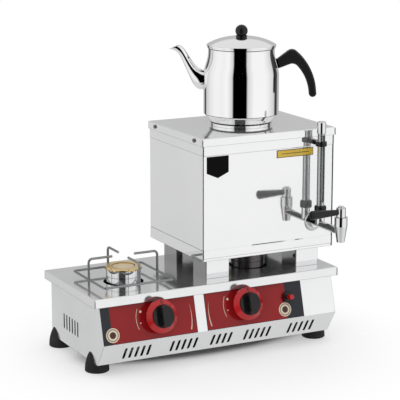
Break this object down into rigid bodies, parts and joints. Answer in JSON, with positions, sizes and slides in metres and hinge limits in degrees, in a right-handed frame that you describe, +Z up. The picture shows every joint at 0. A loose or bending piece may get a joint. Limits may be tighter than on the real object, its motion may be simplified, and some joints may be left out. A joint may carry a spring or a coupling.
{
  "type": "gas tea boiler",
  "caption": "Free-standing gas tea stove: an open burner with a pot stand beside a square water boiler with a lever tap and level gauge, and a teapot on the boiler's lid.",
  "frame": {"origin": "floor under the middle of the whole object's outline", "axes": "+X to the right seen from the front, +Y to the back, +Z up"},
  "size_m": [0.5402, 0.386, 0.645],
  "materials": {
    "polished_steel": "mirror-polished stainless sheet",
    "chrome": "bright plating",
    "brass": "turned, satin",
    "black_plastic": "moulded, semi-gloss",
    "red_plastic": "moulded, gloss",
    "red_panel": "printed, gloss",
    "rubber": "moulded, matt",
    "aluminium": "drawn tube",
    "ceramic": "glazed white",
    "glass": "clear tube"
  },
  "bodies": {
    "stove": {"base_casing": "polished_steel", "bottom_plate": "polished_steel", "top_tray": "polished_steel", "left_fascia": "red_panel", "right_fascia": "red_panel", "corner_feet": "rubber", "gas_rail": "aluminium", "gas_inlet": "brass", "valve_bonnets": "brass", "left_valve_body": "brass", "right_valve_body": "brass", "left_gas_pipe": "aluminium", "right_gas_pipe": "aluminium", "burner_brackets": "polished_steel", "burner_injectors": "brass", "left_burner_cup": "chrome", "right_burner_cup": "chrome", "igniter_body": "black_plastic", "igniter_nut": "black_plastic", "spark_electrode": "ceramic"},
    "left_valve": {"left_valve_plug": "brass"},
    "right_valve": {"right_valve_plug": "brass"},
    "left_knob": {"left_spindle": "chrome", "left_knob_grip": "black_plastic", "left_knob_skirt": "red_plastic"},
    "right_knob": {"right_spindle": "chrome", "right_knob_grip": "black_plastic", "right_knob_skirt": "red_plastic"},
    "igniter_push": {"igniter_button": "red_plastic"},
    "left_cap": {"left_burner_cap": "brass"},
    "right_cap": {"right_burner_cap": "brass"},
    "stand": {"pot_stand": "chrome"},
    "boiler": {"boiler_wrap": "polished_steel", "boiler_front": "polished_steel", "boiler_floor": "polished_steel", "boiler_legs": "polished_steel", "water_tank": "polished_steel", "boiler_lid": "polished_steel", "lid_screws": "chrome", "tap_flange": "chrome", "tap_seal": "rubber", "tap_back_nut": "chrome", "tap_body": "chrome", "gauge_nut": "black_plastic", "gauge_glass": "glass", "gauge_guard": "chrome", "gauge_cap": "chrome", "gauge_clip": "black_plastic"},
    "tap_handle": {"tap_plug": "chrome", "tap_lever": "black_plastic", "tap_crown": "chrome"},
    "teapot": {"teapot_body": "polished_steel", "teapot_spout": "polished_steel", "handle_lug": "chrome", "teapot_handle": "black_plastic"},
    "pot_lid": {"teapot_lid": "polished_steel", "teapot_lid_knob": "black_plastic"}
  },
  "joints": [
    {"name": "left_knob_turn", "type": "hinge", "parent": "stove", "child": "left_valve", "pos_m": [-0.13824, -0.09259, 0.10836], "axis": [0, -0.964, 0.2659], "range_deg": [0, 210]},
    {"name": "left_knob_push", "type": "slide", "parent": "left_valve", "child": "left_knob", "axis": [0, 0.964, -0.2659], "range_m": [0, 0.004], "stiffness_N_per_m": 500, "springref_m": -0.006},
    {"name": "right_knob_turn", "type": "hinge", "parent": "stove", "child": "right_valve", "pos_m": [0.0513, -0.09259, 0.10836], "axis": [0, -0.964, 0.2659], "range_deg": [0, 210]},
    {"name": "right_knob_push", "type": "slide", "parent": "right_valve", "child": "right_knob", "axis": [0, 0.964, -0.2659], "range_m": [0, 0.004], "stiffness_N_per_m": 500, "springref_m": -0.006},
    {"name": "igniter_press", "type": "slide", "parent": "stove", "child": "igniter_push", "axis": [0, 0.964, -0.2659], "range_m": [0, 0.007], "stiffness_N_per_m": 400, "springref_m": -0.006},
    {"name": "tap_lever_turn", "type": "hinge", "parent": "boiler", "child": "tap_handle", "pos_m": [0.2185, -0.18, 0.295], "axis": [0, 0, 1], "range_deg": [0, 90]},
    {"name": "boiler_lift", "type": "slide", "parent": "stove", "child": "boiler", "axis": [0, 0, 1], "range_m": [0, 0.2]},
    {"name": "teapot_lift", "type": "slide", "parent": "boiler", "child": "teapot", "axis": [0, 0, 1], "range_m": [0, 0.2]},
    {"name": "teapot_lid_lift", "type": "slide", "parent": "teapot", "child": "pot_lid", "axis": [0, 0, 1], "range_m": [0, 0.1]},
    {"name": "pot_stand_lift", "type": "slide", "parent": "stove", "child": "stand", "axis": [0, 0, 1], "range_m": [0, 0.15]},
    {"name": "left_burner_cap_lift", "type": "slide", "parent": "stove", "child": "left_cap", "axis": [0, 0, 1], "range_m": [0, 0.017]},
    {"name": "right_burner_cap_lift", "type": "slide", "parent": "stove", "child": "right_cap", "axis": [0, 0, 1], "range_m": [0, 0.01]}
  ]
}
